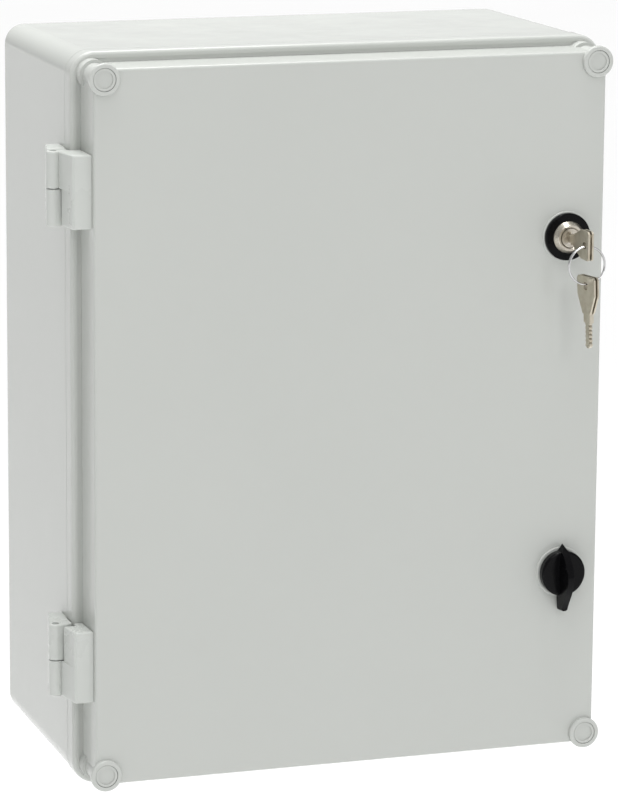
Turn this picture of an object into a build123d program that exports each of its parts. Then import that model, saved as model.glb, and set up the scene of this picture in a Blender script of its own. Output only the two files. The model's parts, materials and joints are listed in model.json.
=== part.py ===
from build123d import *
import os
from math import atan, cos, degrees, radians, sin

# Wall-mounted AC disconnect enclosure with a hinged door, a key lock, a wing knob
# and a DIN-rail switch-disconnector.
# Frame: +Z up, the door faces -Y, the origin is the middle of the rear (wall) face.
# All sizes are millimetres. "Depth" is the distance in front of the wall face.

# ---------------------------------------------------------------- driving dimensions
BOX_W = 300.0
BOX_H = 400.0
CORNER_R = 13.0
BASE_D = 135.0            # wall face to the seam
SEAM_GAP = 0.4
FLANGE_D = 146.0          # wall face to the front of the door flange
PANEL_D = 170.0           # wall face to the front of the raised panel
PILLAR_D = 172.5          # wall face to the front of the corner pillars
WALL = 3.0
BACK_T = 3.5
REAR_DRAFT = 1.5          # each side, over the depth of the base
RIM_PROUD = 0.5
RIM_W = 3.5
REAR_EDGE_R = 2.5

LEDGE_D = 129.5           # rear face of the ledge that carries the sealing lip
LEDGE_INSET = 10.0
LIP_INSET = 6.0
LIP_T = 2.2
LIP_D = 139.3
CHANNEL_INNER_INSET = 10.2
RIB_INSET = 12.7
RIB_D = 138.5
CHANNEL_FLOOR_D = 143.0
GASKET_T = 3.4

PANEL_FOOT_INSET = 5.7
PANEL_INSET = 6.1
PANEL_R = 6.0
GROOVE_W = 2.2
GROOVE_T = 0.5

PILLAR_INSET = 11.5
PILLAR_R = 8.6
PILLAR_COLLAR_R = 8.2
PILLAR_COLLAR_D = 152.8
PILLAR_SHAFT_R = 6.5
PILLAR_HEAD_T = 2.5
PLUG_R = 6.2
PLUG_SEAT_T = 2.0
PLUG_DISH_R = 4.6
PLUG_DISH_T = 0.9         # floor of the plug's dish, behind the front of the pillar
PLUG_STEM_R = 3.5

HINGE_X = -159.3
HINGE_D = 145.5
HINGE_Z = 128.5
HINGE_H = 40.0
KNUCKLE_R = 3.75
KNUCKLE_GAP = 0.3
PIN_R = 2.0
PIN_PLAY = 0.05
HINGE_SCREW_Z = 12.0
HINGE_SCREW_D = 125.3     # screws of the leaf on the base
DOOR_SCREW_D = 156.0      # screws of the leaf on the door
HINGE_SCREW_R = 2.0
LEAF_EDGE_R = 0.9

LOCK_X = 122.5
LOCK_Z = 93.4
KNOB_Z = -94.5
PAD_R = 13.9
PAD_T = 0.9
LOCK_HOLE_R = 10.1
CAM_HUB_D = 148.9         # front face of the cam's hub plate
CAM_FOOT_D = 128.8        # front face of the cam's foot
CAM_T = 2.5
CAM_W = 14.0
CAM_REACH = 22.0
CAM_OFFSET = 11.5
SQUARE = 6.0
HOUSING_R = 8.0
HOUSING_REAR_D = 150.0
BARREL_R = 5.2
RING_FRONT_D = 173.2      # front of the black ring round the lock
FACE_D = 177.0            # front of the lock housing
BARREL_FACE_D = 176.6
KEYWAY_W = 2.3
KEYWAY_H = 4.3
KEYWAY_END_D = 162.5

# Keys are drawn from the middle of the slot in the bow: u runs along the key towards the
# end of the bow, and v runs across it.
KEY_SLOT_D = 200.0
BOW_END_U = 5.3
BOW_START_U = -15.5
BLADE_START_U = -20.4
TIP_U = -34.4
NECK_HALF = 2.9
BLADE_HALF = 1.9
SLOT_U = 4.6
SLOT_V = 3.6
RING_R = 10.3
RING_DROP = 0.7           # wire of the ring below the middle of the key's slot
SPARE_DROP = 0.8          # middle of the spare key's slot below the wire
SPARE_SHIFT = 1.0
SPARE_TURN = 77.5         # degrees from the door plane
SPARE_TILT = 2.4          # degrees from upright

KNOB_DISC_R = 12.7
KNOB_REAR_D = 172.3
KNOB_FRONT_D = 177.0
SLEEVE_BORE_R = 6.05
POINTER_Z = 16.4          # tip of the wing's pointer above the middle of the knob
LEVER_Z = -21.5           # end of the wing's lever below it

PLATE_W = 240.0
PLATE_H = 340.0
PLATE_D = 15.5            # rear face of the mounting plate
PLATE_T = 2.0
BOSS_X = 110.0
BOSS_Z = 160.0
WALL_HOLE_X = 130.0
WALL_HOLE_Z = 180.0
WALL_HOLE_R = 3.5

RAIL_Z = 50.0
RAIL_L = 200.0
RAIL_W = 35.0
RAIL_H = 7.5
SWITCH_X = -20.0
POLE_W = 17.8
POLES = 4
SWITCH_H = 84.0
SWITCH_SHOULDER = 44.0    # depth of the switch body in front of the rail
SWITCH_NOSE = 60.0        # depth of the switch nose in front of the rail
NOSE_H = 45.0
TOGGLE_D = 77.0
TOGGLE_R = 7.0
TOGGLE_W = 56.0
TOGGLE_TILT = 28.0
POCKET_W = 58.0
POCKET_HALF = 9.0
CHAMBER_W = 61.0
CHAMBER_HALF = 16.0
CHAMBER_START = 50.0
CHAMBER_END = 69.9
CLAMP_Z = 32.0
CLAMP_D = 45.0
BAR_L = 92.0
BAR_WAYS = 10
EARTH_Z = -70.0
NEUTRAL_Z = -115.0

os.makedirs("parts", exist_ok=True)


def write(part, label):
    """Name one finished piece and write it."""
    part.label = label
    export_step(part, "parts/" + label + ".step")


def front(depth):
    """Plane parallel to the wall at this depth: local x is X, local y is Z, normal is -Y."""
    return Plane.XZ.offset(depth)


def front_at(x, z, depth):
    """The same plane with its origin at one place on the front."""
    return Plane(origin=(x, -depth, z), x_dir=(1, 0, 0), z_dir=(0, -1, 0))


def facing_left(x, depth, z):
    """Plane on a left-hand wall, normal -X, local x along -Y and local y along +Z."""
    return Plane(origin=(x, -depth, z), x_dir=(0, -1, 0), z_dir=(-1, 0, 0))


def outline(inset, radius, mode=Mode.ADD):
    """Rounded rectangle that follows the enclosure's outline, moved in by inset."""
    RectangleRounded(BOX_W - 2 * inset, BOX_H - 2 * inset, radius, mode=mode)


def rim_band(start, end, inset, thickness, radius, mode=Mode.ADD):
    """A wall that runs all round the outline, from one depth to another."""
    with BuildSketch(front(start)) as band:
        outline(inset, radius)
        outline(inset + thickness, max(radius - thickness * 0.7, 0.6), mode=Mode.SUBTRACT)
    extrude(band.sketch, amount=end - start, mode=mode)


def disc(x, z, start, end, radius, mode=Mode.ADD):
    """A round of this radius between two depths."""
    with BuildSketch(front_at(x, z, start)) as round_face:
        Circle(radius)
    extrude(round_face.sketch, amount=end - start, mode=mode)


def block(x0, x1, start, end, z0, z1, mode=Mode.ADD):
    """A rectangular block between two depths."""
    with BuildSketch(front_at((x0 + x1) / 2, (z0 + z1) / 2, start)) as face:
        Rectangle(x1 - x0, z1 - z0)
    extrude(face.sketch, amount=end - start, mode=mode)


def pan_screw(x, z, seat, length, thread_r, head_r, head_t):
    """Cross-recess pan screw along Y whose head faces the front and seats at this depth."""
    with BuildPart() as screw:
        disc(x, z, seat, seat - length, thread_r)
        disc(x, z, seat, seat + head_t, head_r)
        fillet(screw.edges().filter_by(GeomType.CIRCLE).sort_by(Axis.Y)[0], head_t * 0.45)
        with BuildSketch(front_at(x, z, seat + head_t)):
            Rectangle(head_r * 1.1, head_r * 0.24)
            Rectangle(head_r * 0.24, head_r * 1.1)
        extrude(amount=-head_t * 0.55, mode=Mode.SUBTRACT)
    return screw.part


def side_screw(x, depth, z, length, thread_r, head_r, head_t):
    """Pan screw along X, driven from inside to the left. Its head seats at x."""
    with BuildPart() as screw:
        with BuildSketch(facing_left(x, depth, z)):
            Circle(thread_r)
        extrude(amount=length)
        with BuildSketch(facing_left(x, depth, z)):
            Circle(head_r)
        extrude(amount=-head_t)
        fillet(screw.edges().filter_by(GeomType.CIRCLE).sort_by(Axis.X)[-1], head_t * 0.45)
        with BuildSketch(facing_left(x + head_t, depth, z)):
            Rectangle(head_r * 1.1, head_r * 0.24)
            Rectangle(head_r * 0.24, head_r * 1.1)
        extrude(amount=head_t * 0.55, mode=Mode.SUBTRACT)
    return screw.part


def group(parts, label):
    """Write identical separate solids as one node."""
    write(Compound(children=list(parts)), label)


# ---------------------------------------------------------------- base shell
rim_start = BASE_D - RIM_W
draft_angle = degrees(atan(REAR_DRAFT / rim_start))
left_wall_x = -BOX_W / 2
hinge_centres = {"upper": HINGE_Z, "lower": -HINGE_Z}
with BuildPart() as base_shell:
    with BuildSketch(front(rim_start)):
        outline(RIM_PROUD, CORNER_R - 0.5)
    extrude(amount=-rim_start, taper=draft_angle)
    fillet(base_shell.faces().sort_by(Axis.Y)[-1].edges(), REAR_EDGE_R)
    with BuildSketch(front(rim_start)):
        outline(0, CORNER_R)
    extrude(amount=RIM_W)
    with BuildSketch(front(LEDGE_D)):
        outline(RIM_PROUD + WALL, CORNER_R - 3.5)
    extrude(amount=BACK_T - LEDGE_D, taper=draft_angle, mode=Mode.SUBTRACT)
    with BuildSketch(front(LEDGE_D)):
        outline(LEDGE_INSET, 5.0)
    extrude(amount=BASE_D - LEDGE_D, mode=Mode.SUBTRACT)
    rim_band(BASE_D, LIP_D, LIP_INSET, LIP_T, CORNER_R - LIP_INSET)
    # bosses that carry the mounting plate
    with BuildSketch(front(BACK_T)):
        with GridLocations(2 * BOSS_X, 2 * BOSS_Z, 2, 2):
            Circle(6.5)
    extrude(amount=PLATE_D - BACK_T)
    with BuildSketch(front(PLATE_D)):
        with GridLocations(2 * BOSS_X, 2 * BOSS_Z, 2, 2):
            Circle(2.55)
    extrude(amount=-10.0, mode=Mode.SUBTRACT)
    # wall-fixing holes, each with a collar round it inside
    with BuildSketch(front(BACK_T)):
        with GridLocations(2 * WALL_HOLE_X, 2 * WALL_HOLE_Z, 2, 2):
            Circle(8.0)
    extrude(amount=3.0)
    with BuildSketch(front(BACK_T + 3.0)):
        with GridLocations(2 * WALL_HOLE_X, 2 * WALL_HOLE_Z, 2, 2):
            Circle(WALL_HOLE_R)
    extrude(amount=-(BACK_T + 3.0), mode=Mode.SUBTRACT)
    # hinge screw holes through the left wall
    for centre in hinge_centres.values():
        for step in (-HINGE_SCREW_Z, HINGE_SCREW_Z):
            with BuildSketch(facing_left(left_wall_x + 8.0, HINGE_SCREW_D, centre + step)):
                Circle(2.1)
            extrude(amount=10.0, mode=Mode.SUBTRACT)
write(base_shell.part, "base_shell")

# ---------------------------------------------------------------- door shell
door_rear = BASE_D + SEAM_GAP
panel_foot = PANEL_FOOT_INSET
pillar_x = BOX_W / 2 - PILLAR_INSET
pillar_z = BOX_H / 2 - PILLAR_INSET
panel_rise = PANEL_D - FLANGE_D + GROOVE_T
with BuildPart() as door_shell:
    with BuildSketch(front(door_rear)):
        outline(0, CORNER_R)
    extrude(amount=FLANGE_D - door_rear)
    fillet(door_shell.faces().sort_by(Axis.Y)[0].edges(), 2.0)
    rim_band(FLANGE_D, FLANGE_D - GROOVE_T, panel_foot - GROOVE_W, GROOVE_W + 1.0,
             PANEL_R + GROOVE_W, mode=Mode.SUBTRACT)
    with BuildSketch(front(FLANGE_D - GROOVE_T)):
        outline(panel_foot, PANEL_R)
    extrude(amount=panel_rise, taper=degrees(atan((PANEL_INSET - panel_foot) / panel_rise)))
    fillet(door_shell.faces().sort_by(Axis.Y)[0].edges(), 1.3)
    rim_band(door_rear, CHANNEL_FLOOR_D, WALL, CHANNEL_INNER_INSET - WALL, CORNER_R - WALL,
             mode=Mode.SUBTRACT)
    with BuildSketch(front(door_rear)):
        outline(CHANNEL_INNER_INSET - 0.5, 4.6)
    extrude(amount=RIB_D - door_rear, mode=Mode.SUBTRACT)
    with BuildSketch(front(door_rear)):
        outline(RIB_INSET, 3.0)
    extrude(amount=FLANGE_D - door_rear, mode=Mode.SUBTRACT)
    with BuildSketch(front(FLANGE_D)):
        outline(PANEL_INSET + WALL, 3.5)
    extrude(amount=PANEL_D - WALL - FLANGE_D, mode=Mode.SUBTRACT)
    # corner pillars: collar, shaft and head
    for start, end, radius in ((FLANGE_D - GROOVE_T, PILLAR_COLLAR_D, PILLAR_COLLAR_R),
                               (FLANGE_D - GROOVE_T, PILLAR_D - PILLAR_HEAD_T, PILLAR_SHAFT_R),
                               (PILLAR_D - PILLAR_HEAD_T, PILLAR_D, PILLAR_R)):
        with BuildSketch(front(start)):
            with GridLocations(2 * pillar_x, 2 * pillar_z, 2, 2):
                Circle(radius)
        extrude(amount=end - start)
    heads = door_shell.faces().filter_by(Plane.XZ).sort_by(Axis.Y)[0:4]
    fillet(heads.edges(), 0.9)
    with BuildSketch(front(PILLAR_D)):
        with GridLocations(2 * pillar_x, 2 * pillar_z, 2, 2):
            Circle(PLUG_R + 0.1)
    extrude(amount=-PLUG_SEAT_T, mode=Mode.SUBTRACT)
    with BuildSketch(front(PILLAR_D - PLUG_SEAT_T)):
        with GridLocations(2 * pillar_x, 2 * pillar_z, 2, 2):
            Circle(PLUG_STEM_R + 0.1)
    extrude(amount=-14.0, mode=Mode.SUBTRACT)
    # raised pads round the two locks, and the holes through them
    pad_places = ((LOCK_X, LOCK_Z), (LOCK_X, KNOB_Z))
    for x, z in pad_places:
        disc(x, z, PANEL_D, PANEL_D + PAD_T, PAD_R)
    pads = door_shell.edges().filter_by(GeomType.CIRCLE)
    pads = pads.filter_by(lambda edge: abs(edge.radius - PAD_R) < 0.01).group_by(Axis.Y)[0]
    fillet(pads, 0.6)
    for x, z in pad_places:
        disc(x, z, PANEL_D - WALL, PANEL_D + PAD_T, LOCK_HOLE_R, mode=Mode.SUBTRACT)
    # hinge screw holes through the left side of the raised panel
    for centre in hinge_centres.values():
        for step in (-HINGE_SCREW_Z, HINGE_SCREW_Z):
            with BuildSketch(facing_left(left_wall_x + 12.0, DOOR_SCREW_D, centre + step)):
                Circle(2.1)
            extrude(amount=8.0, mode=Mode.SUBTRACT)
write(door_shell.part, "door_shell")

# ---------------------------------------------------------------- door gasket
with BuildPart() as door_gasket:
    rim_band(CHANNEL_FLOOR_D, CHANNEL_FLOOR_D - GASKET_T, WALL + 0.25,
             CHANNEL_INNER_INSET - WALL - 0.5, CORNER_R - WALL - 0.25)
write(door_gasket.part, "door_gasket")

# ---------------------------------------------------------------- pillar plugs
plugs = []
for x in (-pillar_x, pillar_x):
    for z in (-pillar_z, pillar_z):
        with BuildPart() as plug:
            seat = PILLAR_D - PLUG_SEAT_T
            disc(x, z, seat + 0.02, PILLAR_D - 0.25, PLUG_R)
            fillet(plug.edges().sort_by(Axis.Y)[0], 0.5)
            disc(x, z, PILLAR_D - PLUG_DISH_T, PILLAR_D, PLUG_DISH_R, mode=Mode.SUBTRACT)
            disc(x, z, seat + 0.02, seat - 9.0, PLUG_STEM_R)
            with BuildSketch(front_at(x, z, seat - 3.0)):
                Rectangle(1.2, 8.0)
            extrude(amount=-6.0, mode=Mode.SUBTRACT)
        plugs.append(plug.part)
group(plugs, "pillar_plugs")

# ---------------------------------------------------------------- hinges
# plan outlines of the leaves from the hinge axis: local x is X and local y is Y
base_leaf_plate = ((8.95, 6.6), (8.95, 10.6), (9.28, 10.6), (9.28, 14.1), (9.77, 14.1),
                   (9.87, 23.4), (2.6, 23.4), (1.7, 22.4), (-1.9, 6.6))
base_leaf_block = ((8.95, -0.7), (8.95, 10.6), (9.28, 10.6), (9.28, 14.1), (9.77, 14.1),
                   (9.87, 23.4), (2.6, 23.4), (1.7, 22.4), (-3.7, 0.6), (0.0, -KNUCKLE_R),
                   (6.2, -2.9))
door_leaf_front = ((3.2, -5.4), (5.0, -19.7), (6.0, -20.7), (15.27, -20.7), (14.97, -0.55),
                   (9.95, -0.55), (9.95, -5.4))
door_leaf_web = ((2.2, -3.0), (5.0, -19.7), (6.0, -20.7), (15.27, -20.7), (14.97, -0.55),
                 (9.0, -0.55), (7.2, 3.2), (0.6, 3.7), (0.0, 0.0))


def leaf_half(z, height, points, knuckle, bore_r):
    """One half of a hinge leaf: its plan outline, with the knuckle round the axis."""
    with BuildSketch(Plane(origin=(HINGE_X, -HINGE_D, z))) as outline_face:
        with BuildLine():
            Polyline(*points, close=True)
        make_face()
        if knuckle:
            Circle(KNUCKLE_R)
    extrude(outline_face.sketch, amount=height)
    if knuckle:
        with BuildSketch(Plane(origin=(HINGE_X, -HINGE_D, z))) as bore:
            Circle(bore_r)
        extrude(bore.sketch, amount=height, mode=Mode.SUBTRACT)


def soften(builder, radius):
    """Round the top and bottom rims of a hinge leaf."""
    for end in (0, -1):
        fillet(builder.faces().sort_by(Axis.Z)[end].outer_wire().edges(), radius)


def base_leaf(centre, knuckle_up):
    """Leaf on the enclosure: a block on the side wall whose knuckle fills one half."""
    half = HINGE_H / 2
    block_z = centre + KNUCKLE_GAP if knuckle_up else centre - half
    plate_z = centre - half if knuckle_up else centre - KNUCKLE_GAP
    with BuildPart() as leaf:
        leaf_half(block_z, half - KNUCKLE_GAP, base_leaf_block, True, PIN_R + 0.01)
        leaf_half(plate_z, half + KNUCKLE_GAP, base_leaf_plate, False, 0)
        soften(leaf, LEAF_EDGE_R)
        for step in (-HINGE_SCREW_Z, HINGE_SCREW_Z):
            with BuildSketch(facing_left(left_wall_x + 1.0, HINGE_SCREW_D, centre + step)):
                Circle(2.05)
            extrude(amount=7.0, mode=Mode.SUBTRACT)
    return leaf.part


def door_leaf(centre, knuckle_up):
    """Leaf on the door: a block against the panel wall whose knuckle fills one half."""
    half = HINGE_H / 2
    trim = 0.6
    web_z = centre + KNUCKLE_GAP if knuckle_up else centre - half
    front_z = centre - half + trim if knuckle_up else centre - KNUCKLE_GAP
    with BuildPart() as leaf:
        leaf_half(web_z, half - KNUCKLE_GAP, door_leaf_web, True, PIN_R + PIN_PLAY)
        leaf_half(front_z, half + KNUCKLE_GAP - trim, door_leaf_front, False, 0)
        soften(leaf, LEAF_EDGE_R)
        for step in (-HINGE_SCREW_Z, HINGE_SCREW_Z):
            with BuildSketch(facing_left(left_wall_x + 7.0, DOOR_SCREW_D, centre + step)):
                Circle(2.05)
            extrude(amount=6.4, mode=Mode.SUBTRACT)
    return leaf.part


for name, centre in hinge_centres.items():
    base_knuckle_up = name == "lower"
    write(base_leaf(centre, base_knuckle_up), "hinge_base_leaf_" + name)
    write(door_leaf(centre, not base_knuckle_up), "hinge_door_leaf_" + name)
    with BuildPart() as hinge_pin:
        with BuildSketch(Plane(origin=(HINGE_X, -HINGE_D, centre - HINGE_H / 2 + 1.0))):
            Circle(PIN_R)
        extrude(amount=HINGE_H - 2.0)
        chamfer(hinge_pin.edges(), 0.4)
    write(hinge_pin.part, "hinge_pin_" + name)

base_wall_inner_x = left_wall_x + RIM_PROUD + WALL + 0.15
door_wall_inner_x = left_wall_x + PANEL_INSET + WALL + 0.05
screw_rows = [c + s for c in hinge_centres.values() for s in (-HINGE_SCREW_Z, HINGE_SCREW_Z)]
group([side_screw(base_wall_inner_x, HINGE_SCREW_D, z, 8.5, 2.0, 3.6, 2.4)
       for z in screw_rows], "hinge_base_screws")
group([side_screw(door_wall_inner_x, DOOR_SCREW_D, z, 8.0, 2.0, 3.6, 2.4)
       for z in screw_rows], "hinge_door_screws")


# ---------------------------------------------------------------- locks
def cam_part(z):
    """Cranked lock cam that points up: hub plate, leg towards the rear, and foot."""
    hub_mid = -(CAM_HUB_D - CAM_T / 2)
    foot_mid = -(CAM_FOOT_D - CAM_T / 2)
    leg_mid = CAM_OFFSET - CAM_T / 2
    with BuildPart() as cam:
        with BuildSketch(Plane(origin=(LOCK_X, 0, z), x_dir=(0, 1, 0), z_dir=(1, 0, 0))):
            with BuildLine():
                FilletPolyline((hub_mid, -8.0), (hub_mid, leg_mid), (foot_mid, leg_mid),
                               (foot_mid, CAM_REACH), radius=2.0)
            trace(line_width=CAM_T)
        extrude(amount=CAM_W / 2, both=True)
        fillet(cam.edges().filter_by(Axis.Y).group_by(Axis.Z)[0], 4.0)
        fillet(cam.edges().filter_by(Axis.Y).group_by(Axis.Z)[-1], 2.5)
        with BuildSketch(front_at(LOCK_X, z, CAM_HUB_D)):
            Rectangle(SQUARE + 0.1, SQUARE + 0.1)
        extrude(amount=-CAM_T, mode=Mode.SUBTRACT)
    return cam.part


def cam_screw(z):
    """Pan screw that holds the cam on its square, driven from the rear."""
    seat = CAM_HUB_D - CAM_T - 0.02
    with BuildPart() as screw:
        disc(LOCK_X, z, seat, seat + 7.0, 1.98)
        disc(LOCK_X, z, seat, seat - 2.4, 4.2)
        fillet(screw.edges().filter_by(GeomType.CIRCLE).sort_by(Axis.Y)[-1], 1.0)
        with BuildSketch(front_at(LOCK_X, z, seat - 2.4)):
            Rectangle(4.6, 1.0)
            Rectangle(1.0, 4.6)
        extrude(amount=1.4, mode=Mode.SUBTRACT)
    return screw.part


def hex_nut(z, start, end, across, bore_r):
    """Hexagon nut with its outer corners turned off."""
    corner_r = across / 2 / cos(radians(30))
    with BuildPart() as nut:
        with BuildSketch(front_at(LOCK_X, z, start)):
            RegularPolygon(corner_r, 6)
            Circle(bore_r, mode=Mode.SUBTRACT)
        extrude(amount=end - start)
        with BuildSketch(front_at(LOCK_X, z, start)):
            Circle(corner_r + 2.0)
            Circle(corner_r - 0.5, mode=Mode.SUBTRACT)
        extrude(amount=end - start, mode=Mode.SUBTRACT)
    return nut.part


pad_d = PANEL_D + PAD_T
shoulder_d = CAM_HUB_D + 0.1
square_end_d = CAM_HUB_D - CAM_T + 0.1

with BuildPart() as lock_escutcheon:
    disc(LOCK_X, LOCK_Z, pad_d, RING_FRONT_D, 13.0)
    fillet(lock_escutcheon.edges().sort_by(Axis.Y)[0], 0.7)
    disc(LOCK_X, LOCK_Z, pad_d, 165.5, LOCK_HOLE_R - 0.1)
    disc(LOCK_X, LOCK_Z, 165.5, RING_FRONT_D, HOUSING_R + 0.1, mode=Mode.SUBTRACT)
write(lock_escutcheon.part, "lock_escutcheon")

with BuildPart() as lock_housing:
    with BuildSketch(Plane(origin=(LOCK_X, 0, LOCK_Z), x_dir=(1, 0, 0), z_dir=(0, 0, 1))):
        with BuildLine():
            Polyline((BARREL_R + 0.05, -HOUSING_REAR_D), (HOUSING_R, -HOUSING_REAR_D),
                     (HOUSING_R, -RING_FRONT_D - 0.02), (8.8, -RING_FRONT_D - 0.02),
                     (8.8, -RING_FRONT_D - 0.8), (7.3, -FACE_D + 0.5), (6.9, -FACE_D),
                     (6.0, -FACE_D), (BARREL_R + 0.05, -FACE_D + 0.8), close=True)
        make_face()
    revolve(axis=Axis((LOCK_X, 0, LOCK_Z), (0, 1, 0)), revolution_arc=360)
write(lock_housing.part, "lock_housing")
write(hex_nut(LOCK_Z, 160.4, 165.4, 22.0, HOUSING_R + 0.05), "lock_nut")

with BuildPart() as lock_barrel:
    disc(LOCK_X, LOCK_Z, shoulder_d, BARREL_FACE_D, BARREL_R)
    block(LOCK_X - SQUARE / 2, LOCK_X + SQUARE / 2, square_end_d, shoulder_d,
          LOCK_Z - SQUARE / 2, LOCK_Z + SQUARE / 2)
    block(LOCK_X - KEYWAY_W / 2, LOCK_X + KEYWAY_W / 2, KEYWAY_END_D, BARREL_FACE_D,
          LOCK_Z - KEYWAY_H / 2, LOCK_Z + KEYWAY_H / 2, mode=Mode.SUBTRACT)
    disc(LOCK_X, LOCK_Z, square_end_d, square_end_d + 8.0, 2.0, mode=Mode.SUBTRACT)
write(lock_barrel.part, "lock_barrel")
write(cam_part(LOCK_Z), "lock_cam")
write(cam_screw(LOCK_Z), "lock_cam_screw")

# ---------------------------------------------------------------- keys and ring
bow_half = ((BOW_START_U, 3.2), (BOW_START_U + 1.0, 3.9), (-5.0, 7.9), (3.8, 8.0),
            (BOW_END_U, 6.8))


def mirrored(points):
    """Close a half outline with its mirror image in v."""
    return list(points) + [(u, -v) for u, v in reversed(points)]


def key_part(plane):
    """Flat key with a folded sheet bow, on a plane whose local x runs towards the bow's end."""
    teeth = [(TIP_U, 0.5), (TIP_U + 1.2, BLADE_HALF)]
    for count in range(5):
        start = TIP_U + 2.4 + 2.3 * count
        teeth += [(start, BLADE_HALF), (start + 0.7, BLADE_HALF - 0.6 - 0.15 * (count % 2)),
                  (start + 1.3, BLADE_HALF)]
    teeth += [(BLADE_START_U, BLADE_HALF)]
    inner = [(u - 2.0 if u > 0 else u, v - 2.0) for u, v in bow_half]
    with BuildPart() as key:
        for start in (0.6, -1.6):
            with BuildSketch(plane.offset(start)):
                with BuildLine():
                    Polyline(*mirrored(bow_half), close=True)
                make_face()
            extrude(amount=1.0)
        with BuildSketch(plane.offset(-0.7)):
            with BuildLine():
                Polyline(*mirrored(inner), close=True)
            make_face()
        extrude(amount=1.4)
        with BuildSketch(plane.offset(-1.3)):
            with BuildLine():
                Polyline(*mirrored(((BLADE_START_U, NECK_HALF), (BOW_START_U + 2.0, NECK_HALF))), close=True)
            make_face()
        extrude(amount=2.6)
        with BuildSketch(plane.offset(-1.0)):
            with BuildLine():
                Polyline(*mirrored(teeth), close=True)
            make_face()
        extrude(amount=2.0)
        with BuildSketch(plane.offset(-1.0)):
            with BuildLine():
                Polyline(*mirrored(((BLADE_START_U - 1.0, BLADE_HALF),
                                    (BLADE_START_U + 1.0, BLADE_HALF))), close=True)
            make_face()
        extrude(amount=2.0)
        with BuildSketch(plane.offset(-2.0)):
            SlotOverall(SLOT_U, SLOT_V)
        extrude(amount=4.0, mode=Mode.SUBTRACT)
    return key.part


wire_top_z = LOCK_Z - RING_DROP
ring_z = wire_top_z - RING_R
wire_low_z = ring_z - RING_R
spare_turn = radians(SPARE_TURN)
spare_tilt = radians(SPARE_TILT)
key_plane = Plane(origin=(LOCK_X, -KEY_SLOT_D, LOCK_Z), x_dir=(0, -1, 0), z_dir=(-1, 0, 0))
spare_normal = (-sin(spare_turn) * cos(spare_tilt), -cos(spare_turn),
                -sin(spare_turn) * sin(spare_tilt))
spare_plane = Plane(origin=(LOCK_X + SPARE_SHIFT, -KEY_SLOT_D, wire_low_z - SPARE_DROP),
                    x_dir=(-sin(spare_tilt), 0, cos(spare_tilt)), z_dir=spare_normal)
write(key_part(key_plane), "key")
write(key_part(spare_plane), "spare_key")
with BuildPart() as key_ring:
    with BuildSketch(Plane(origin=(LOCK_X, 0, ring_z))):
        with Locations((RING_R, -KEY_SLOT_D)):
            RectangleRounded(1.0, 1.9, 0.45)
    revolve(axis=Axis((LOCK_X, -KEY_SLOT_D, ring_z), (0, 1, 0)), revolution_arc=360)
write(key_ring.part, "key_ring")

# ---------------------------------------------------------------- wing knob
with BuildPart() as knob_sleeve:
    disc(LOCK_X, KNOB_Z, pad_d, pad_d + 1.2, 11.6)
    disc(LOCK_X, KNOB_Z, pad_d, HOUSING_REAR_D, LOCK_HOLE_R - 0.1)
    disc(LOCK_X, KNOB_Z, HOUSING_REAR_D, pad_d + 1.2, SLEEVE_BORE_R, mode=Mode.SUBTRACT)
write(knob_sleeve.part, "knob_sleeve")
write(hex_nut(KNOB_Z, 161.8, 166.9, 26.0, LOCK_HOLE_R - 0.05), "knob_nut")

# outline of the wing seen from the front: pointer up, lever down
wing_front = ((0.0, POINTER_Z), (2.6, 12.6), (3.4, 4.0), (3.2, -6.0), (2.9, -12.0),
              (2.3, -20.5), (0.9, LEVER_Z))
# crest of the wing: (height from the middle, depth)
wing_crest = ((POINTER_Z, 174.2), (12.5, 179.0), (6.5, 185.0), (0.0, 187.8), (-7.0, 186.4),
              (-13.5, 182.4), (LEVER_Z, 178.2))
with BuildPart() as wing:
    with BuildSketch(front_at(LOCK_X, KNOB_Z, KNOB_REAR_D + 0.9)):
        with BuildLine():
            Polyline(*[(-x, z) for x, z in wing_front[:0:-1]], *wing_front, close=True)
        make_face()
    extrude(amount=17.0, taper=6)
    with BuildSketch(Plane(origin=(LOCK_X, 0, KNOB_Z), x_dir=(0, -1, 0), z_dir=(-1, 0, 0))):
        # local x is depth and local y is height
        with BuildLine():
            crest = Spline(*[(depth, z) for z, depth in wing_crest])
            Polyline(crest @ 1, (KNOB_REAR_D, LEVER_Z), (KNOB_REAR_D, POINTER_Z), crest @ 0)
        make_face()
    extrude(amount=20.0, both=True, mode=Mode.INTERSECT)
with BuildPart() as knob:
    disc(LOCK_X, KNOB_Z, KNOB_REAR_D, KNOB_FRONT_D, KNOB_DISC_R)
    fillet(knob.edges().sort_by(Axis.Y)[0], 1.3)
    add(wing.part)
    disc(LOCK_X, KNOB_Z, KNOB_REAR_D, shoulder_d, SLEEVE_BORE_R - 0.05)
    block(LOCK_X - SQUARE / 2, LOCK_X + SQUARE / 2, square_end_d, shoulder_d,
          KNOB_Z - SQUARE / 2, KNOB_Z + SQUARE / 2)
    disc(LOCK_X, KNOB_Z, square_end_d, square_end_d + 8.0, 2.0, mode=Mode.SUBTRACT)
write(knob.part, "knob")
write(cam_part(KNOB_Z), "knob_cam")
write(cam_screw(KNOB_Z), "knob_cam_screw")

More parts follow.
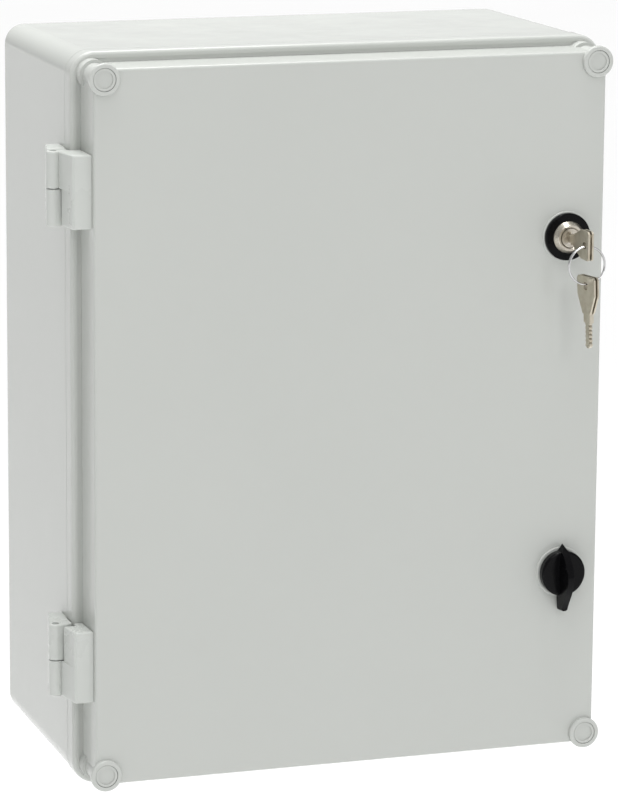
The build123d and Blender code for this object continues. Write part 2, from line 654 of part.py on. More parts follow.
# ---------------------------------------------------------------- mounting plate
plate_front = PLATE_D + PLATE_T
rail_screw_x = RAIL_L / 2 - 12.0
bar_screw_x = BAR_L / 2 - 5.0
with BuildPart() as mounting_plate:
    with BuildSketch(front(PLATE_D)):
        RectangleRounded(PLATE_W, PLATE_H, 6.0)
        with GridLocations(2 * BOSS_X, 2 * BOSS_Z, 2, 2):
            Circle(3.0, mode=Mode.SUBTRACT)
        with Locations((-rail_screw_x, RAIL_Z), (rail_screw_x, RAIL_Z)):
            Circle(2.05, mode=Mode.SUBTRACT)
        for bar_z in (EARTH_Z, NEUTRAL_Z):
            with Locations((-bar_screw_x, bar_z), (bar_screw_x, bar_z)):
                Circle(2.05, mode=Mode.SUBTRACT)
    extrude(amount=PLATE_T)
write(mounting_plate.part, "mounting_plate")
group([pan_screw(x, z, plate_front + 0.02, 10.0, 2.5, 4.6, 3.0)
       for x in (-BOSS_X, BOSS_X) for z in (-BOSS_Z, BOSS_Z)], "plate_screws")

# ---------------------------------------------------------------- DIN rail
rail_front = plate_front + RAIL_H
with BuildPart() as din_rail:
    with BuildSketch(Plane(origin=(-RAIL_L / 2, 0, RAIL_Z), x_dir=(0, 1, 0), z_dir=(1, 0, 0))):
        # local x is Y and local y is height: a top-hat section, 1 mm thick
        with BuildLine():
            Polyline((-rail_front, RAIL_W / 2), (-rail_front, 11.5), (-plate_front - 1.0, 11.5),
                     (-plate_front - 1.0, -11.5), (-rail_front, -11.5),
                     (-rail_front, -RAIL_W / 2), (-rail_front + 1.0, -RAIL_W / 2),
                     (-rail_front + 1.0, -12.5), (-plate_front, -12.5),
                     (-plate_front, 12.5), (-rail_front + 1.0, 12.5),
                     (-rail_front + 1.0, RAIL_W / 2), close=True)
        make_face()
    extrude(amount=RAIL_L)
    with BuildSketch(front(plate_front)):
        for x in (-rail_screw_x, rail_screw_x):
            with Locations((x, RAIL_Z)):
                SlotOverall(12.0, 5.2)
        with Locations((RAIL_L / 2 - 32.0, RAIL_Z), (32.0 - RAIL_L / 2, RAIL_Z),
                       (RAIL_L / 2 - 52.0, RAIL_Z)):
            SlotOverall(12.0, 5.2)
    extrude(amount=1.0, mode=Mode.SUBTRACT)
write(din_rail.part, "din_rail")
group([pan_screw(x, RAIL_Z, plate_front + 1.02, 6.0, 2.0, 4.0, 2.4)
       for x in (-rail_screw_x, rail_screw_x)], "rail_screws")

# ---------------------------------------------------------------- switch-disconnector
switch_w = POLES * POLE_W
pole_x = [SWITCH_X + (n - (POLES - 1) / 2) * POLE_W for n in range(POLES)]
body_rear = rail_front + 0.05
shoulder = rail_front + SWITCH_SHOULDER
nose = rail_front + SWITCH_NOSE
clamp_z = (RAIL_Z - CLAMP_Z, RAIL_Z + CLAMP_Z)

with BuildPart() as switch_body:
    with BuildSketch(Plane(origin=(SWITCH_X, 0, RAIL_Z), x_dir=(0, -1, 0), z_dir=(-1, 0, 0))):
        # local x is depth and local y is height
        with BuildLine():
            Polyline((body_rear, SWITCH_H / 2), (shoulder, SWITCH_H / 2), (shoulder, NOSE_H / 2),
                     (nose, NOSE_H / 2), (nose, -NOSE_H / 2), (shoulder, -NOSE_H / 2),
                     (shoulder, -SWITCH_H / 2), (body_rear, -SWITCH_H / 2), close=True)
        make_face()
    extrude(amount=switch_w / 2, both=True)
    fillet(switch_body.edges().filter_by(Axis.X), 1.0)
    # grooves between the poles
    for n in range(POLES - 1):
        x = (pole_x[n] + pole_x[n + 1]) / 2
        block(x - 0.25, x + 0.25, nose - 0.6, nose, RAIL_Z - NOSE_H / 2, RAIL_Z + NOSE_H / 2,
              mode=Mode.SUBTRACT)
    # upper hook behind the rail
    block(SWITCH_X - 30.0, SWITCH_X + 30.0, body_rear - 3.6, body_rear,
          RAIL_Z + RAIL_W / 2 + 0.3, RAIL_Z + RAIL_W / 2 + 4.3)
    block(SWITCH_X - 30.0, SWITCH_X + 30.0, body_rear - 3.6, body_rear - 1.3,
          RAIL_Z + RAIL_W / 2 - 2.2, RAIL_Z + RAIL_W / 2 + 0.3)
    # toggle pocket and arc chamber
    block(SWITCH_X - POCKET_W / 2, SWITCH_X + POCKET_W / 2, CHAMBER_END, nose,
          RAIL_Z - POCKET_HALF, RAIL_Z + POCKET_HALF, mode=Mode.SUBTRACT)
    block(SWITCH_X - CHAMBER_W / 2, SWITCH_X + CHAMBER_W / 2, CHAMBER_START, CHAMBER_END,
          RAIL_Z - CHAMBER_HALF, RAIL_Z + CHAMBER_HALF, mode=Mode.SUBTRACT)
    # toggle journal holes
    with BuildSketch(Plane(origin=(SWITCH_X, -TOGGLE_D, RAIL_Z), x_dir=(0, 1, 0),
                           z_dir=(1, 0, 0))):
        Circle(2.05)
    extrude(amount=POCKET_W / 2 + 3.2, both=True, mode=Mode.SUBTRACT)
    # cable clamps: a chamber open at the end face, and a screw shaft from the front
    for x in pole_x:
        for z in clamp_z:
            out = 1 if z > RAIL_Z else -1
            low, high = sorted((z - out * 5.2, RAIL_Z + out * SWITCH_H / 2))
            block(x - 5.2, x + 5.2, CLAMP_D - 5.2, CLAMP_D + 6.2, low, high,
                  mode=Mode.SUBTRACT)
            disc(x, z, CLAMP_D + 6.0, shoulder, 3.3, mode=Mode.SUBTRACT)
    # slide for the spring clip in the rear face
    block(SWITCH_X - 8.3, SWITCH_X + 8.3, body_rear, body_rear + 3.3,
          RAIL_Z - SWITCH_H / 2, RAIL_Z - 13.0, mode=Mode.SUBTRACT)
write(switch_body.part, "switch_body")

tilt = radians(TOGGLE_TILT)
along_x = Plane(origin=(SWITCH_X, -TOGGLE_D, RAIL_Z), x_dir=(0, 1, 0), z_dir=(1, 0, 0))
# local x points out along the paddle, which hangs down at rest
paddle_plane = Plane(origin=(SWITCH_X, -TOGGLE_D, RAIL_Z), x_dir=(0, -cos(tilt), -sin(tilt)),
                     z_dir=(1, 0, 0))
with BuildPart() as switch_toggle:
    with BuildSketch(along_x):
        Circle(TOGGLE_R)
    extrude(amount=TOGGLE_W / 2, both=True)
    with BuildSketch(along_x):
        Circle(2.0)
    extrude(amount=TOGGLE_W / 2 + 3.0, both=True)
    with BuildSketch(paddle_plane):
        with Locations((10.5, 0)):
            RectangleRounded(17.0, 4.6, 1.6)
    extrude(amount=TOGGLE_W / 2 - 3.0, both=True)
write(switch_toggle.part, "switch_toggle")

contact_arms = []
fixed_contacts = []
for x in pole_x:
    with BuildPart() as arm:
        with BuildSketch(Plane(origin=(x, -TOGGLE_D, RAIL_Z), x_dir=(0, -cos(tilt), -sin(tilt)),
                               z_dir=(1, 0, 0))):
            with Locations((-TOGGLE_R - 6.55, 0)):
                Rectangle(12.5, 2.4)
        extrude(amount=2.0, both=True)
    contact_arms.append(arm.part)
    with BuildPart() as contact:
        block(x - 2.5, x + 2.5, 54.0, 64.0, RAIL_Z - 13.9, RAIL_Z - 12.4)
        block(x - 2.5, x + 2.5, 52.0, 54.0, RAIL_Z - 15.8, RAIL_Z - 12.4)
    fixed_contacts.append(contact.part)
group(contact_arms, "switch_contact_arms")
group(fixed_contacts, "switch_fixed_contacts")

clamps = []
clamp_screws = []
for x in pole_x:
    for z in clamp_z:
        with BuildPart() as clamp:
            block(x - 4.9, x + 4.9, CLAMP_D - 5.0, CLAMP_D + 5.8, z - 4.8, z + 4.8)
            block(x - 3.6, x + 3.6, CLAMP_D - 3.8, CLAMP_D + 3.4, z - 4.8, z + 4.8,
                  mode=Mode.SUBTRACT)
            disc(x, z, CLAMP_D + 3.4, CLAMP_D + 5.8, 2.02, mode=Mode.SUBTRACT)
        clamps.append(clamp.part)
        clamp_screws.append(pan_screw(x, z, CLAMP_D + 6.4, 4.0, 2.0, 3.0, 2.6))
group(clamps, "switch_clamps")
group(clamp_screws, "switch_clamp_screws")

with BuildPart() as din_clip:
    block(SWITCH_X - 8.0, SWITCH_X + 8.0, body_rear + 0.2, body_rear + 3.0,
          RAIL_Z - SWITCH_H / 2 - 4.0, RAIL_Z - 17.9)
    block(SWITCH_X - 8.0, SWITCH_X + 8.0, body_rear - 3.6, body_rear + 0.2,
          RAIL_Z - RAIL_W / 2 - 4.2, RAIL_Z - RAIL_W / 2 - 0.4)
    block(SWITCH_X - 8.0, SWITCH_X + 8.0, body_rear - 3.6, body_rear - 1.3,
          RAIL_Z - RAIL_W / 2 - 0.4, RAIL_Z - RAIL_W / 2 + 2.0)
    block(SWITCH_X - 2.5, SWITCH_X + 2.5, body_rear, body_rear + 3.2,
          RAIL_Z - SWITCH_H / 2 - 2.6, RAIL_Z - SWITCH_H / 2 - 1.2, mode=Mode.SUBTRACT)
write(din_clip.part, "din_clip")


# ---------------------------------------------------------------- earth and neutral bars
def terminal_bar(z):
    """Brass bar with cable holes from below and a clamping screw in front of each."""
    foot = plate_front + 9.0
    pitch = (BAR_L - 28.0) / (BAR_WAYS - 1)
    ways = [pitch * (n - (BAR_WAYS - 1) / 2) for n in range(BAR_WAYS)]
    with BuildPart() as bar:
        block(-BAR_L / 2, BAR_L / 2, foot, foot + 7.0, z - 4.5, z + 4.5)
        chamfer(bar.edges().filter_by(Axis.X), 0.5)
        for x in ways:
            with BuildSketch(Plane(origin=(x, -foot - 3.4, z - 5.0))):
                Circle(2.4)
            extrude(amount=10.0, mode=Mode.SUBTRACT)
            disc(x, z, foot + 3.4, foot + 7.0, 1.78, mode=Mode.SUBTRACT)
        for x in (-bar_screw_x, bar_screw_x):
            disc(x, z, foot, foot + 7.0, 2.05, mode=Mode.SUBTRACT)
    screws = [pan_screw(x, z, foot + 7.4, 3.2, 1.75, 2.9, 2.0) for x in ways]
    return bar.part, screws


def bar_feet(z):
    """Two insulating stand-offs under a terminal bar."""
    feet = []
    for x in (-bar_screw_x, bar_screw_x):
        with BuildPart() as foot:
            block(x - 5.0, x + 5.0, plate_front + 0.02, plate_front + 8.98, z - 7.0, z + 7.0)
            fillet(foot.edges().filter_by(Axis.Y), 1.5)
            disc(x, z, plate_front, plate_front + 9.0, 2.05, mode=Mode.SUBTRACT)
        feet.append(foot.part)
    return feet


for name, z in (("earth", EARTH_Z), ("neutral", NEUTRAL_Z)):
    bar, screws = terminal_bar(z)
    write(bar, name + "_bar")
    group(screws, name + "_bar_screws")
    group(bar_feet(z), name + "_bar_feet")
    group([pan_screw(x, z, plate_front + 16.02, 18.0, 2.0, 3.8, 2.4)
           for x in (-bar_screw_x, bar_screw_x)], name + "_bar_fixings")
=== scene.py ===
import json
import math

import bpy
from mathutils import Matrix, Vector


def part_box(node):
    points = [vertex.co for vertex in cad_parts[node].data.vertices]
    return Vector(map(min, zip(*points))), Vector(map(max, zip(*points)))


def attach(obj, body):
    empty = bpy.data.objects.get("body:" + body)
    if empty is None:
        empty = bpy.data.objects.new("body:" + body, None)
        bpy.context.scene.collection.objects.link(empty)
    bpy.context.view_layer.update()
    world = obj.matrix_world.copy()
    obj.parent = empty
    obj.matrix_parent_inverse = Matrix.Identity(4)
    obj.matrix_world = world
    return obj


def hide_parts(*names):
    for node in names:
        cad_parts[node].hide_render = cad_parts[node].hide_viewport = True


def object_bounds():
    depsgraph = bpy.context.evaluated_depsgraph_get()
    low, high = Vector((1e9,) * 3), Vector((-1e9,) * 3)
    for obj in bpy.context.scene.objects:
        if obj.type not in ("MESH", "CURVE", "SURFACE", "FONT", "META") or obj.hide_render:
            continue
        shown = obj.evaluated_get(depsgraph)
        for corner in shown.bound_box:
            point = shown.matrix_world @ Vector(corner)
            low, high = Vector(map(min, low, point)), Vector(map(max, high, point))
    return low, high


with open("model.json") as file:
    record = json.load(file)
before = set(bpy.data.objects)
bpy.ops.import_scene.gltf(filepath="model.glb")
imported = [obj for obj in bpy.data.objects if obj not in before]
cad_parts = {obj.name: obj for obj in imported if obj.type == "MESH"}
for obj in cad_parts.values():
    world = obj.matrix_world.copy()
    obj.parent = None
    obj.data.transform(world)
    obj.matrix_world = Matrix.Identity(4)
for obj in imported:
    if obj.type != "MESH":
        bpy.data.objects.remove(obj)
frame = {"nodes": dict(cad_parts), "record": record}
cad_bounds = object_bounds()

# Wall-mounted AC disconnect box: camera, light, floor, materials and the finer pieces.
# Everything is in metres, in the CAD frame: +Z up, the door faces -Y, wall face at Y 0.


# ---------------------------------------------------------------- camera
CAMERA_AZIMUTH = -18.666
CAMERA_ELEVATION = 12.068
CAMERA_ROLL = 0.431
CAMERA_DISTANCE = 2.3267
CAMERA_LENS = 186.79
CAMERA_AIM = Vector((0.00588, -0.080, -0.00909))
SENSOR_WIDTH = 36.0
FAR_CLIP = 60.0


def make_camera():
    """Long-lens camera, seen from the left and a little above."""
    azimuth, elevation, roll = map(math.radians, (CAMERA_AZIMUTH, CAMERA_ELEVATION, CAMERA_ROLL))
    back = Vector((math.sin(azimuth) * math.cos(elevation),
                   -math.cos(azimuth) * math.cos(elevation), math.sin(elevation)))
    right = Vector((0, 0, 1)).cross(back).normalized()
    up = back.cross(right)
    turned_right = math.cos(roll) * right + math.sin(roll) * up
    turned_up = math.cos(roll) * up - math.sin(roll) * right
    data = bpy.data.cameras.new("camera")
    data.lens = CAMERA_LENS
    data.sensor_width = SENSOR_WIDTH
    data.clip_end = FAR_CLIP
    camera = bpy.data.objects.new("camera", data)
    rotation = Matrix((turned_right, turned_up, back)).transposed().to_4x4()
    camera.matrix_world = Matrix.Translation(CAMERA_AIM + back * CAMERA_DISTANCE) @ rotation
    bpy.context.scene.collection.objects.link(camera)
    bpy.context.scene.camera = camera


make_camera()


# ---------------------------------------------------------------- node helpers
class Look:
    """A material under construction: short calls that add its procedural nodes."""

    def __init__(self, name):
        self.material = bpy.data.materials.new(name)
        self.material.use_nodes = True
        self.tree = self.material.node_tree
        self.shader = self.tree.nodes["Principled BSDF"]
        self.place = self.tree.nodes.new("ShaderNodeTexCoord").outputs["Object"]

    def link(self, source, target):
        self.tree.links.new(source, target)

    def mapped(self, stretch=(1, 1, 1), move=(0, 0, 0), turn=(0, 0, 0)):
        """Object coordinates, moved, turned and stretched."""
        node = self.tree.nodes.new("ShaderNodeMapping")
        node.inputs["Location"].default_value = move
        node.inputs["Rotation"].default_value = turn
        node.inputs["Scale"].default_value = stretch
        self.link(self.place, node.inputs["Vector"])
        return node.outputs["Vector"]

    def noise(self, size, detail=2.0, stretch=(1, 1, 1), turn=(0, 0, 0), rough=0.5):
        """Soft noise whose features are about this size, in metres."""
        node = self.tree.nodes.new("ShaderNodeTexNoise")
        node.inputs["Scale"].default_value = 1.0 / size
        node.inputs["Detail"].default_value = detail
        node.inputs["Roughness"].default_value = rough
        self.link(self.mapped(stretch, turn=turn), node.inputs["Vector"])
        return node.outputs["Fac"]

    def cells(self, size, output="Distance"):
        """Voronoi cells of this size, in metres."""
        node = self.tree.nodes.new("ShaderNodeTexVoronoi")
        node.inputs["Scale"].default_value = 1.0 / size
        self.link(self.place, node.inputs["Vector"])
        return node.outputs[output]

    def rings(self, centre, pitch):
        """Turning marks: rings round an axis along Y through this point."""
        node = self.tree.nodes.new("ShaderNodeTexWave")
        node.wave_type = "RINGS"
        node.rings_direction = "Y"
        node.inputs["Scale"].default_value = 0.314 / pitch
        node.inputs["Distortion"].default_value = 0.6
        node.inputs["Detail"].default_value = 1.0
        self.link(self.mapped(move=tuple(-c for c in centre)), node.inputs["Vector"])
        return node.outputs["Fac"]

    def spread(self, value, low, high, start=0.3, end=0.7):
        """Maps start..end of a value to low..high."""
        node = self.tree.nodes.new("ShaderNodeMapRange")
        node.inputs["From Min"].default_value = start
        node.inputs["From Max"].default_value = end
        node.inputs["To Min"].default_value = low
        node.inputs["To Max"].default_value = high
        self.link(value, node.inputs["Value"])
        return node.outputs["Result"]

    def sum(self, first, second, share=1.0):
        """first + second * share."""
        node = self.tree.nodes.new("ShaderNodeMath")
        node.operation = "MULTIPLY_ADD"
        self.link(second, node.inputs[0])
        node.inputs[1].default_value = share
        self.link(first, node.inputs[2])
        return node.outputs["Value"]

    def blend(self, factor, first, second):
        """Colour between first and second. Either may be a socket or an (r, g, b)."""
        node = self.tree.nodes.new("ShaderNodeMix")
        node.data_type = "RGBA"
        self.link(factor, node.inputs["Factor"])
        for socket, value in ((node.inputs[6], first), (node.inputs[7], second)):
            if isinstance(value, tuple):
                socket.default_value = (*value, 1.0)
            else:
                self.link(value, socket)
        return node.outputs[2]

    def edges(self, radius):
        """1 on an outer or inner edge, 0 on a flat face."""
        bevel = self.tree.nodes.new("ShaderNodeBevel")
        bevel.samples = 4
        bevel.inputs["Radius"].default_value = radius
        normal = self.tree.nodes.new("ShaderNodeNewGeometry").outputs["Normal"]
        dot = self.tree.nodes.new("ShaderNodeVectorMath")
        dot.operation = "DOT_PRODUCT"
        self.link(bevel.outputs["Normal"], dot.inputs[0])
        self.link(normal, dot.inputs[1])
        return self.spread(dot.outputs["Value"], 1.0, 0.0, 0.80, 0.99)

    def hollow_shade(self, reach):
        """1 deep in a groove or corner, 0 in the open: the mask for painted shade."""
        node = self.tree.nodes.new("ShaderNodeAmbientOcclusion")
        node.samples = 4
        node.inputs["Distance"].default_value = reach
        return self.spread(node.outputs["AO"], 1.0, 0.0, 0.25, 0.75)

    def bump(self, height, distance, strength=1.0):
        node = self.tree.nodes.new("ShaderNodeBump")
        node.inputs["Distance"].default_value = distance
        node.inputs["Strength"].default_value = strength
        self.link(height, node.inputs["Height"])
        self.link(node.outputs["Normal"], self.shader.inputs["Normal"])

    def set(self, **values):
        """Constants or sockets on the shader, named as its inputs with _ for a space."""
        for name, value in values.items():
            socket = self.shader.inputs[name.replace("_", " ")]
            if isinstance(value, (float, int)):
                socket.default_value = value
            elif isinstance(value, tuple):
                socket.default_value = (*value, 1.0)
            else:
                self.link(value, socket)


# ---------------------------------------------------------------- materials
def moulded_plastic(name, light, dark, gloss=(0.14, 0.21), peel=0.0000025):
    """Gloss moulding: faint flow clouds, orange peel, edges lightened as wear and painted
    highlight, painted shade in the grooves.
    """
    look = Look(name)
    clouds = look.noise(0.16, detail=3.0)
    flecks = look.noise(0.0007, detail=1.0)
    body = look.blend(look.spread(clouds, 0.0, 1.0), dark, light)
    body = look.blend(look.spread(flecks, 0.0, 0.02, 0.55, 0.75), body,
                      tuple(c * 0.80 for c in dark))
    # painted shade: darker deep in grooves and corners, from an occlusion mask
    body = look.blend(look.spread(look.hollow_shade(0.002), 0.0, 0.05, 0.0, 1.0), body,
                      tuple(c * 0.55 for c in dark))
    # edges lightened: wear and painted highlight
    edge_wear_and_highlight = look.spread(look.edges(0.0004), 0.0, 0.16, 0.0, 1.0)
    body = look.blend(edge_wear_and_highlight, body, tuple(min(1.0, c * 1.18) for c in light))
    smears = look.noise(0.035, detail=5.0, rough=0.65)
    look.set(Base_Color=body, Roughness=look.spread(smears, *gloss),
             Specular_IOR_Level=0.32)
    look.bump(look.sum(look.noise(0.0030, detail=2.0), look.noise(0.0007, detail=1.0), 0.3), peel)
    return look.material


def textured_plastic(name, colour, grain=0.0004, depth=0.00003, rough=(0.42, 0.55)):
    """Spark-eroded moulding with a fine even grain."""
    look = Look(name)
    tone = look.noise(0.02, detail=4.0)
    body = look.blend(look.spread(tone, 0.0, 1.0), tuple(c * 0.93 for c in colour), colour)
    # painted shade: darker deep in grooves and corners, from an occlusion mask
    body = look.blend(look.spread(look.hollow_shade(0.002), 0.0, 0.35, 0.0, 1.0), body,
                      tuple(c * 0.45 for c in colour))
    edge_wear_and_highlight = look.spread(look.edges(0.0004), 0.0, 0.35, 0.0, 1.0)
    body = look.blend(edge_wear_and_highlight, body, tuple(min(1.0, c * 1.25 + 0.02) for c in colour))
    look.set(Base_Color=body, Roughness=look.spread(tone, *rough))
    look.bump(look.sum(look.cells(grain), look.noise(grain * 2.5), 0.5), depth)
    return look.material


def black_gloss(name):
    """Polished black moulding with hairline scratches and dust."""
    look = Look(name)
    dust = look.noise(0.0012, detail=6.0, rough=0.7)
    body = look.blend(look.spread(dust, 0.0, 0.3, 0.58, 0.75), (0.0025, 0.0025, 0.003),
                      (0.016, 0.016, 0.015))
    edge_wear_and_highlight = look.spread(look.edges(0.0005), 0.0, 0.6, 0.0, 1.0)
    body = look.blend(edge_wear_and_highlight, body, (0.016, 0.016, 0.017))
    first = look.noise(0.0004, stretch=(1, 1, 0.03), turn=(0.0, 0.5, 0.0))
    second = look.noise(0.0004, stretch=(0.03, 1, 1), turn=(0.0, 0.2, 0.0))
    scratches = look.sum(first, second)
    rough = look.sum(look.spread(look.noise(0.006, detail=4.0), 0.13, 0.24),
                     look.spread(scratches, 0.0, 0.10, 1.15, 1.35))
    look.set(Base_Color=body, Roughness=rough, Specular_IOR_Level=0.11)
    look.bump(look.sum(look.noise(0.0025), scratches, 0.08), 0.000018)
    return look.material


def plated_metal(name, colour, stain, rough, stretch=(1, 1, 1), grain=0.0003, marks=None,
                 depth=0.000006, anisotropic=0.0):
    """Plated metal: brushing or turning marks, thin stains and bright edges."""
    look = Look(name)
    cloud = look.noise(0.004, detail=5.0, rough=0.6)
    body = look.blend(look.spread(cloud, 0.0, 0.7, 0.40, 0.70), colour, stain)
    edge_wear_and_highlight = look.spread(look.edges(0.00025), 0.0, 0.7, 0.0, 1.0)
    body = look.blend(edge_wear_and_highlight, body, tuple(min(1.0, c * 1.15) for c in colour))
    # painted shade: darker deep in grooves and corners, from an occlusion mask
    body = look.blend(look.spread(look.hollow_shade(0.0015), 0.0, 0.45, 0.0, 1.0), body,
                      tuple(c * 0.30 for c in stain))
    fine = look.noise(grain, detail=2.0, stretch=stretch)
    if marks:
        fine = look.sum(fine, look.rings(*marks), 0.7)
    look.set(Base_Color=body, Metallic=1.0, Anisotropic=anisotropic,
             Roughness=look.sum(look.spread(cloud, *rough), look.spread(fine, 0.0, 0.08)))
    look.bump(fine, depth)
    return look.material


def zinc_plate(name):
    """Zinc-coated sheet with soft spangles and a faint blue passivation."""
    look = Look(name)
    spangle = look.cells(0.009, "Color")
    tone = look.spread(spangle, 0.0, 1.0, 0.2, 0.8)
    body = look.blend(tone, (0.47, 0.49, 0.51), (0.60, 0.61, 0.61))
    body = look.blend(look.spread(look.noise(0.03, detail=4.0), 0.0, 0.4), body, (0.56, 0.57, 0.52))
    body = look.blend(look.spread(look.edges(0.0005), 0.0, 0.5, 0.0, 1.0), body,
                      (0.74, 0.75, 0.75))
    look.set(Base_Color=body, Metallic=1.0, Roughness=look.spread(spangle, 0.30, 0.46, 0.2, 0.8))
    look.bump(look.sum(look.noise(0.0006), look.noise(0.003, detail=3.0), 0.8), 0.00001)
    return look.material


def foam_rubber(name):
    """Closed-cell sealing foam."""
    look = Look(name)
    cells = look.cells(0.0006)
    body = look.blend(look.spread(cells, 0.0, 1.0, 0.1, 0.6), (0.020, 0.020, 0.020),
                      (0.055, 0.055, 0.054))
    look.set(Base_Color=body, Roughness=look.spread(look.noise(0.01), 0.75, 0.92))
    look.bump(look.sum(cells, look.noise(0.004), 0.8), 0.00012)
    return look.material


LOCK_AXIS = tuple((a + b) / 2 for a, b in zip(*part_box("lock_barrel")))
materials = {
    "housing": moulded_plastic("housing", (0.550, 0.566, 0.540), (0.540, 0.556, 0.530)),
    "hinge_plastic": moulded_plastic("hinge_plastic", (0.590, 0.610, 0.583),
                                     (0.570, 0.590, 0.563), gloss=(0.24, 0.34)),
    "gasket": foam_rubber("gasket"),
    "nickel": plated_metal("nickel", (0.62, 0.58, 0.51), (0.46, 0.41, 0.34), (0.16, 0.26),
                           marks=(LOCK_AXIS, 0.00035)),
    "ring_wire": plated_metal("ring_wire", (0.66, 0.66, 0.67), (0.48, 0.48, 0.48),
                              (0.14, 0.22)),
    "key_steel": plated_metal("key_steel", (0.58, 0.54, 0.45), (0.44, 0.39, 0.30),
                              (0.26, 0.36), stretch=(1, 1, 0.12), anisotropic=0.35),
    "black_plastic": black_gloss("black_plastic"),
    "zinc_steel": plated_metal("zinc_steel", (0.66, 0.67, 0.68), (0.55, 0.55, 0.50),
                               (0.24, 0.36)),
    "zinc_sheet": zinc_plate("zinc_sheet"),
    "brass": plated_metal("brass", (0.80, 0.60, 0.28), (0.62, 0.42, 0.18), (0.20, 0.32),
                          stretch=(0.08, 1, 1)),
    "switch_plastic": textured_plastic("switch_plastic", (0.66, 0.66, 0.63)),
    "toggle_plastic": textured_plastic("toggle_plastic", (0.025, 0.025, 0.027),
                                       rough=(0.30, 0.42)),
    "green_plastic": textured_plastic("green_plastic", (0.035, 0.190, 0.060)),
    "blue_plastic": textured_plastic("blue_plastic", (0.025, 0.090, 0.310)),
}
SHEET_NODES = ("mounting_plate", "din_rail")
slot_of = {entry["node"]: entry["material_slot"] for entry in frame["record"]["subparts"]}
for node_name, piece in frame["nodes"].items():
    chosen = "zinc_sheet" if node_name in SHEET_NODES else slot_of[node_name]
    piece.data.materials.clear()
    piece.data.materials.append(materials[chosen])


# ---------------------------------------------------------------- key ring
RING_TURNS = 1.93
RING_STEPS = 144
RING_START = math.radians(-20.0)
RING_CROSSING = 7.0     # how sharply the wire steps across, in wire widths per length


def make_split_ring():
    """Split ring: round wire wound twice, its turns pressed together."""
    low, high = (Vector(corner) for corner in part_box("key_ring"))
    centre = (low + high) / 2
    wire = (high.y - low.y) / 2
    radius = (high.x - low.x - wire) / 2
    curve = bpy.data.curves.new("split_ring", "CURVE")
    curve.dimensions = "3D"
    curve.bevel_depth = wire / 2
    curve.bevel_resolution = 4
    curve.use_fill_caps = True
    line = curve.splines.new("POLY")
    line.points.add(RING_STEPS)
    for n, point in enumerate(line.points):
        part = n / RING_STEPS
        angle = RING_START + part * RING_TURNS * math.tau
        # the wire steps across by its own width near the middle of its length
        side = max(-0.5, min(0.5, (part - 0.5) * RING_CROSSING))
        point.co = (centre.x + radius * math.cos(angle), centre.y + side * wire,
                    centre.z + radius * math.sin(angle), 1.0)
    ring = bpy.data.objects.new("split_ring", curve)
    bpy.context.scene.collection.objects.link(ring)
    curve.materials.append(materials["ring_wire"])
    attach(ring, "ring")
    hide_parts("key_ring")


make_split_ring()


# ---------------------------------------------------------------- floor and light
FLOOR_HALF = 12.0
FLOOR_DROP = 0.30       # below the box, which hangs on a wall
SURROUND_DIM = 0.36     # behind the box on its left
SURROUND_BRIGHT = 0.54
SURROUND_BACKWARD = -0.75    # weight of +Y against +X in the direction of the fall-off
SURROUND_FADE = (-1.00, -0.25)

# name: place, aim, side in metres, power in watts
SOFT_BOXES = {
    "key_light": ((0.17, -2.6, 1.10), (0, -0.15, 0), 0.6, 8.0),
    "upper_left_light": ((-0.45, -1.0, 1.5), (0, -0.17, 0.1), 0.9, 4.5),
    "top_light": ((-0.05, 0.25, 0.85), (0, -0.08, 0.2), 0.6, 5.2),
}
OVERHEAD_HEADING = (0.02, 0.03, -1.0)
OVERHEAD_SOFTNESS = 16.0
OVERHEAD_STRENGTH = 1.7


def make_floor():
    """Plain pale floor, some way below the box, as under a box on a wall."""
    half = FLOOR_HALF
    level = cad_bounds[0].z - FLOOR_DROP
    mesh = bpy.data.meshes.new("floor")
    mesh.from_pydata([(-half, -half, level), (half, -half, level), (half, half, level),
                      (-half, half, level)], [], [(0, 1, 2, 3)])
    look = Look("floor")
    tone = look.spread(look.noise(0.4, detail=3.0), 0.0, 1.0)
    look.set(Base_Color=look.blend(tone, (0.95, 0.95, 0.95), (0.96, 0.96, 0.96)), Roughness=0.85)
    mesh.materials.append(look.material)
    floor = bpy.data.objects.new("floor", mesh)
    bpy.context.scene.collection.objects.link(floor)


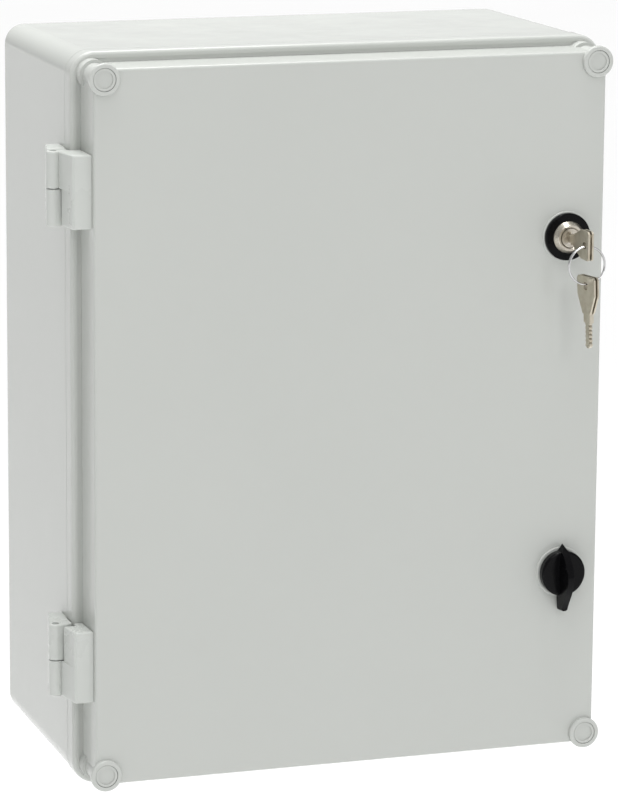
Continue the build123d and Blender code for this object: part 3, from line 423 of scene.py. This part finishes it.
def area_light(name, place, aim, size, power):
    """Square soft box that shines from place towards aim."""
    data = bpy.data.lights.new(name, "AREA")
    data.size = size
    data.energy = power
    light = bpy.data.objects.new(name, data)
    light.location = place
    light.rotation_mode = "QUATERNION"
    light.rotation_quaternion = (Vector(aim) - Vector(place)).to_track_quat("-Z", "Y")
    bpy.context.scene.collection.objects.link(light)


def sun_light(name, heading, softness, strength):
    """Broad soft light from far away, shining along heading."""
    data = bpy.data.lights.new(name, "SUN")
    data.angle = math.radians(softness)
    data.energy = strength
    light = bpy.data.objects.new(name, data)
    light.rotation_mode = "QUATERNION"
    light.rotation_quaternion = Vector(heading).to_track_quat("-Z", "Y")
    bpy.context.scene.collection.objects.link(light)


def make_world():
    """Pale grey studio surround, dimmer behind the box on its left."""
    world = bpy.data.worlds.new("studio")
    world.use_nodes = True
    tree = world.node_tree
    place = tree.nodes.new("ShaderNodeTexCoord").outputs["Generated"]
    split = tree.nodes.new("ShaderNodeSeparateXYZ")
    tree.links.new(place, split.inputs["Vector"])
    fade = tree.nodes.new("ShaderNodeMapRange")
    fade.interpolation_type = "SMOOTHSTEP"
    fade.inputs["From Min"].default_value = SURROUND_FADE[0]
    fade.inputs["From Max"].default_value = SURROUND_FADE[1]
    fade.inputs["To Min"].default_value = SURROUND_DIM
    fade.inputs["To Max"].default_value = SURROUND_BRIGHT
    heading = tree.nodes.new("ShaderNodeMath")
    heading.operation = "MULTIPLY_ADD"
    heading.inputs[1].default_value = SURROUND_BACKWARD
    tree.links.new(split.outputs["Y"], heading.inputs[0])
    tree.links.new(split.outputs["X"], heading.inputs[2])
    tree.links.new(heading.outputs["Value"], fade.inputs["Value"])
    tree.links.new(fade.outputs["Result"], tree.nodes["Background"].inputs["Strength"])
    tree.nodes["Background"].inputs["Color"].default_value = (1.0, 1.0, 1.0, 1.0)
    bpy.context.scene.world = world


make_floor()
make_world()
for light_name, settings in SOFT_BOXES.items():
    area_light(light_name, *settings)
sun_light("overhead", OVERHEAD_HEADING, OVERHEAD_SOFTNESS, OVERHEAD_STRENGTH)
bpy.context.scene.view_settings.view_transform = "Standard"
